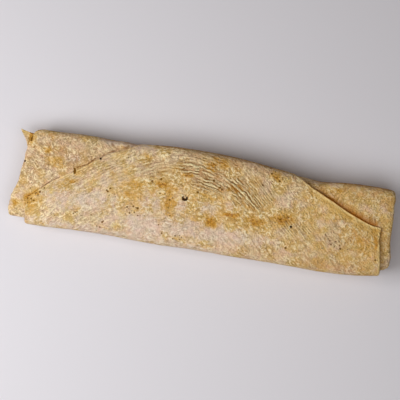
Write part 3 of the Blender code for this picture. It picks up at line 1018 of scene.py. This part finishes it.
BROWN_DOTS = (
    (-82.6, 7.9, 0.85),
    (-82.3, 6.7, 1.1),
    (-82.1, 5.6, 0.85),
    (-21.4, -23.0, 0.5),
    (-13.9, -25.4, 0.5),
    (-9.5, -25.2, 0.5),
    (-16.6, -26.6, 0.45),
    (-60.0, -2.0, 0.6),
    (-59.6, -22.4, 0.7),
    (50.9, -1.9, 0.6),
    (57.2, -19.0, 0.7),
    (-3.2, 6.4, 0.75),
    (5.8, 15.2, 0.8),
    (10.2, 11.5, 0.7),
    (11.6, 10.6, 0.7),
    (-41.8, -9.2, 0.6),
    (-38.9, -9.9, 0.8),
    (-45.6, -10.2, 0.6),
    (-40.6, -12.8, 0.5),
    (-43.4, -13.7, 0.6),
    (-38.1, -14.4, 0.5),
    (-32.6, 8.5, 0.7),
    (-27.3, 10.7, 0.7),
    (-26.5, 1.7, 0.5),
    (-23.4, 2.0, 0.5),
    (-19.8, -1.3, 0.6),
    (-18.0, -11.2, 0.5),
    (-24.2, -18.0, 0.5),
    (-59.2, -2.6, 0.7),
    (-58.0, -0.4, 0.6),
    (-101.8, -10.0, 0.7),
    (-99.5, -7.0, 0.6),
    (-106.6, -15.0, 0.6),
    (-104.8, -16.0, 0.6),
    (-108.9, -15.3, 0.7),
    (-108.4, -13.4, 0.6),
    (-104.4, -11.8, 0.4),
    (-102.7, -12.0, 0.6),
    (-112.7, 23.6, 0.8),
    (-112.9, 22.6, 0.9),
    (-112.6, 21.4, 0.8),
    (-78.5, -20.0, 0.45),
    (-77.4, -19.0, 0.4),
    (-67.2, -19.0, 0.5),
    (41.0, 25.8, 0.75),
    (46.6, 21.8, 0.7),
    (36.6, 17.6, 0.6),
    (43.0, 27.4, 0.6),
    (44.6, 23.6, 0.6),
    (91.2, -13.8, 0.6),
    (90.6, -11.7, 0.5),
    (85.0, -12.0, 0.5),
    (87.4, -13.2, 0.4),
    (-59.0, -21.6, 0.5),
    (-60.6, -25.8, 0.6),
    (-62.6, -25.4, 0.5),
    (-12.7, -23.2, 0.5),
    (-14.2, 19.8, 0.5),
    (114.2, -17.2, 0.6),
)


def spotted_skin(on, colour, points):
    """The colour with the flecks and the dots."""
    cells = {"Vector": on.place, "Scale": FLECKS_PER_CENTIMETRE}
    near = on.place.node("ShaderNodeTexVoronoi", None, cells)
    chosen = on.place.node("ShaderNodeTexVoronoi", None, cells, 1).part(0) + on.flecked * 0.35
    colour = (near.rise(0.30, 0.14) * chosen.rise(0.97, 1.0) * 0.8).mix(colour, BRAN)
    for dots, tone, strength in ((BROWN_DOTS, DOT_BROWN, 0.95), (CHAR_DOTS, CHAR, 0.97)):
        nearest = None
        for x, y, radius in dots:
            over = np.hypot(points[:, 0] - x, points[:, 1] - y) < DOT_SEARCH
            middle = (0.1 * (x + AXIS_X), 0.1 * (y + AXIS_Y), 0.1 * float(points[over, 2].max()))
            outside = on.place.distance(middle) - 0.1 * radius
            nearest = nearest.math("MINIMUM", nearest, outside) if nearest else outside
        spot = (nearest + (on.broken - 0.5) * 0.05).rise(0.02, -0.02)
        colour = (spot * strength).mix(colour, tone)
    return colour


SEEN = (0.36, 0.5)  # what is placed from above fades in between these shares of the roll's height
BLOWN = ((2.4, 5.5), (1.0, 2.0))  # how far the outlines of marks wander, and over which length


def get_attribute(mesh, name):
    values = np.empty(len(mesh.vertices))
    mesh.attributes[name].data.foreach_get("value", values)
    return values


def paint_roll(mesh):
    """Paints on each point what the finish needs to know: how toasted, floury, creased and brown it is, and
    where it gets painted shade and painted highlights.
    """
    points, turned = get_points(mesh), get_attribute(mesh, "turned")
    back, _, height = skin_size(points[:, 0])
    seen = ease(*SEEN, points[:, 2] / height)
    blown = points.copy()
    for axis, seed in ((0, 2.3), (1, 8.9)):
        blown[:, axis] += sum(reach * wander(points, length, seed) for reach, length in BLOWN)
    sides = points[(points[:, 2] < HIDDEN_BELOW * height) & (turned <= 1.0)]
    painted = {
        "seen": seen,
        "toast": toast_strength(blown, seen, sides),
        "brown": brown_and_shade_strength(points, back, seen),
        "floured": soft_patches(blown, FLOUR_AND_HIGHLIGHT, seen),
        "yellowed": soft_patches(blown, YELLOWED, seen),
        "dulled": soft_patches(points, DULLED, seen),
        "creased": soft_patches(points, CREASED, seen),
        "folded": fold_lines(points)[1] * seen,
        "flecked": soft_patches(blown, FLECKED, seen),
        "lit_rim": np.where(turned < 1.0, soft_patches(points, LIT_RIM, seen), 0.0),
    }
    set_attributes(mesh, painted)
    tucked = get_attribute(mesh, "tucked") * (1.0 - soft_patches(points, SEALED))
    mesh.attributes["tucked"].data.foreach_set("value", tucked)


BUMP_HEIGHT = 0.0007  # metres


def flatbread(mesh):
    """Soft wheat flatbread, dry and matt, with all its layers."""
    material = bpy.data.materials.new("toasted_flatbread")
    material.use_nodes = True
    tree = material.node_tree
    on = Surface(tree)
    colour, browned_and_shaded = dough(on)
    colour, toasted = toasted_dough(on, colour)
    colour, wrinkles = wrinkled_skin(on, colour, browned_and_shaded, toasted)
    colour, creases = creased_skin(on, colour)
    colour = spotted_skin(on, edged_flap(on, colour), get_points(mesh))
    height = creases * 0.4 + wrinkles.rise(0.0, 0.06) * 0.4 + on.streaks * (0.8 - on.under * 0.6)
    height = height + on.crumple * 1.2 + on.speckle * 1.1 + on.patch * 0.8
    bumps = {"Strength": 0.9, "Distance": BUMP_HEIGHT, "Height": height}
    bump = height.node("ShaderNodeBump", None, bumps)
    shader = tree.nodes["Principled BSDF"]
    tree.links.new(colour.socket, shader.inputs["Base Color"])
    tree.links.new((0.9 - toasted * 0.16).socket, shader.inputs["Roughness"])
    tree.links.new(bump.socket, shader.inputs["Normal"])
    shader.inputs["Specular IOR Level"].default_value = 0.05
    return material


paint_roll(roll.data)
roll.data.materials.clear()
roll.data.materials.append(flatbread(roll.data))
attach(roll, "root")
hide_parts("wrap")

# ---- The torn point -------------------------------------------------------------------------------
# A small torn point of the folded sheet that sticks out from under the outer turn at the back left. It is
# one layer of the same dough, so its root lies inside the fold and it wears the same finish.
TIP_UPPER = ((-108.0, 2.6), (-112.4, 2.2), (-116.5, 3.0), (-120.5, 4.1))  # its two edges, from root to point
TIP_LOWER = ((-108.0, -8.6), (-113.8, -8.0), (-115.6, -4.0), (-120.5, 3.6))
TIP_Y, TIP_Z = 23.8, 11.8  # the line that its edges are measured from
TIP_TILT = math.radians(-16.0)  # about that line
TIP_THICKNESS = 1.3
TIP_WAVE, TIP_WAVE_LENGTH = 0.35, 3.0
TIP_DROOP = 0.9
TIP_ALONG, TIP_ACROSS = 24, 18  # its faces
TIP_WELD = 1e-6


def tip_edge(points, along):
    """x and y on one edge of the torn point, at shares of the way from its root."""
    shares = np.linspace(0.0, 1.0, len(points))
    return np.array([curve(tuple(zip(shares, values)), along) for values in zip(*points)])


bpy.ops.object.select_all(action="DESELECT")
tip, along, across = add_grid("torn_tip", TIP_ALONG, TIP_ACROSS)
lower = tip_edge(TIP_LOWER, along)
x, y = lower + (tip_edge(TIP_UPPER, along) - lower) * across
z = TIP_WAVE * wander(np.column_stack((x, y, np.zeros_like(x))), TIP_WAVE_LENGTH) - TIP_DROOP * along**2
tip_y = TIP_Y + y * math.cos(TIP_TILT) - z * math.sin(TIP_TILT)
tip_z = TIP_Z + y * math.sin(TIP_TILT) + z * math.cos(TIP_TILT)
set_points(tip.data, np.column_stack((x, tip_y, tip_z)))
set_grain(tip.data, np.column_stack((x, tip_y)))
tip_paint = {
    "toast": 0.8 * ease(-115.4, -113.6, x),
    # painted shade where the point's root goes in under the outer turn
    "tucked": 0.5 * ease(-114.4, -112.8, x + 0.12 * y),
    "brown": 0.1 + 0.3 * ease(-117.0, -120.0, x),
    "floured": 0.2 * (1.0 - ease(-116.0, -114.2, x)),
    "from_edge": np.full(len(x), 6.0),
}
set_attributes(tip.data, tip_paint)
thicken = tip.modifiers.new("thickness", "SOLIDIFY")
thicken.thickness, thicken.offset = TIP_THICKNESS * MM, 0.0
soften = tip.modifiers.new("soft_edges", "SUBSURF")
soften.levels = soften.render_levels = 1
for modifier in ("thickness", "soft_edges"):
    bpy.ops.object.modifier_apply(modifier=modifier)
bpy.ops.object.mode_set(mode="EDIT")
bpy.ops.mesh.select_all(action="SELECT")
bpy.ops.mesh.remove_doubles(threshold=TIP_WELD)
bpy.ops.mesh.normals_make_consistent(inside=False)
bpy.ops.object.mode_set(mode="OBJECT")
bpy.ops.object.shade_smooth()
tip.data.materials.clear()
tip.data.materials.append(roll.data.materials[0])
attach(tip, "root")
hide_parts("wrap")

# ---- Floor, light and camera ----------------------------------------------------------------------
# A plain pale floor, a soft light low on the left and a weaker one high at the front right, a faint sky that
# fills the shadows, and a camera straight above, turned so that the wrap lies as in the photograph.
FLOOR_WHITE, FLOOR_ROUGHNESS = srgb(224, 222, 228), 0.6
SKY_COLOUR, SKY_STRENGTH = (1.0, 0.82, 0.66, 1.0), 0.08

bpy.ops.mesh.primitive_plane_add(size=6.0)
floor = bpy.context.object
floor.name = "floor"
paint = bpy.data.materials.new("pale_floor")
paint.use_nodes = True
paint.node_tree.nodes["Principled BSDF"].inputs["Base Color"].default_value = FLOOR_WHITE
paint.node_tree.nodes["Principled BSDF"].inputs["Roughness"].default_value = FLOOR_ROUGHNESS
floor.data.materials.append(paint)

world = bpy.data.worlds.new("pale_sky")
world.use_nodes = True
world.node_tree.nodes["Background"].inputs["Color"].default_value = SKY_COLOUR
world.node_tree.nodes["Background"].inputs["Strength"].default_value = SKY_STRENGTH
bpy.context.scene.world = world

# Each lamp: its name, the way it lies seen from above (degrees from +X), its height in degrees, its distance
# and width in metres, its power in watts.
LAMPS = (
    ("left_window", -164.0, 45.0, 0.7, 0.5, 3.95),
    ("front_window", -62.0, 70.0, 0.75, 0.65, 1.9),
)
for name, bearing, rise, away, width, power in LAMPS:
    bearing, rise = math.radians(bearing), math.radians(rise)
    flat_way = Vector((math.cos(bearing), math.sin(bearing), 0.0)) * math.cos(rise)
    place = away * (flat_way + Vector((0.0, 0.0, math.sin(rise))))
    bpy.ops.object.light_add(type="AREA", location=place)
    lamp = bpy.context.object
    lamp.name = name
    lamp.data.shape = "SQUARE"
    lamp.data.size = width
    lamp.data.energy = power
    lamp.rotation_euler = (-place).to_track_quat("-Z", "Y").to_euler()

PHOTO_SIZE = 400.0  # the photograph's frame, in its pixels
PIXEL = 0.634  # millimetres of the wrap's middle level to one of them
MIDDLE_LEVEL = 0.016  # metres above the floor
TILT = math.radians(9.6)  # the roll's slope in the photograph, down to the right
CENTRE_U, CENTRE_V = -1.486, 2.79  # the photograph's middle, in pixels along and across the roll's line
CAMERA_HEIGHT = 2.0
SENSOR_WIDTH = 36.0
bpy.ops.object.camera_add(
    location=((AXIS_X + CENTRE_U * PIXEL) * MM, (AXIS_Y + CENTRE_V * PIXEL) * MM, CAMERA_HEIGHT),
    rotation=(0.0, 0.0, TILT),
)
camera = bpy.context.object
camera.data.sensor_width = SENSOR_WIDTH
camera.data.lens = SENSOR_WIDTH * (CAMERA_HEIGHT - MIDDLE_LEVEL) / (PHOTO_SIZE * PIXEL * MM)
bpy.context.scene.camera = camera
bpy.context.scene.view_settings.view_transform = "Standard"
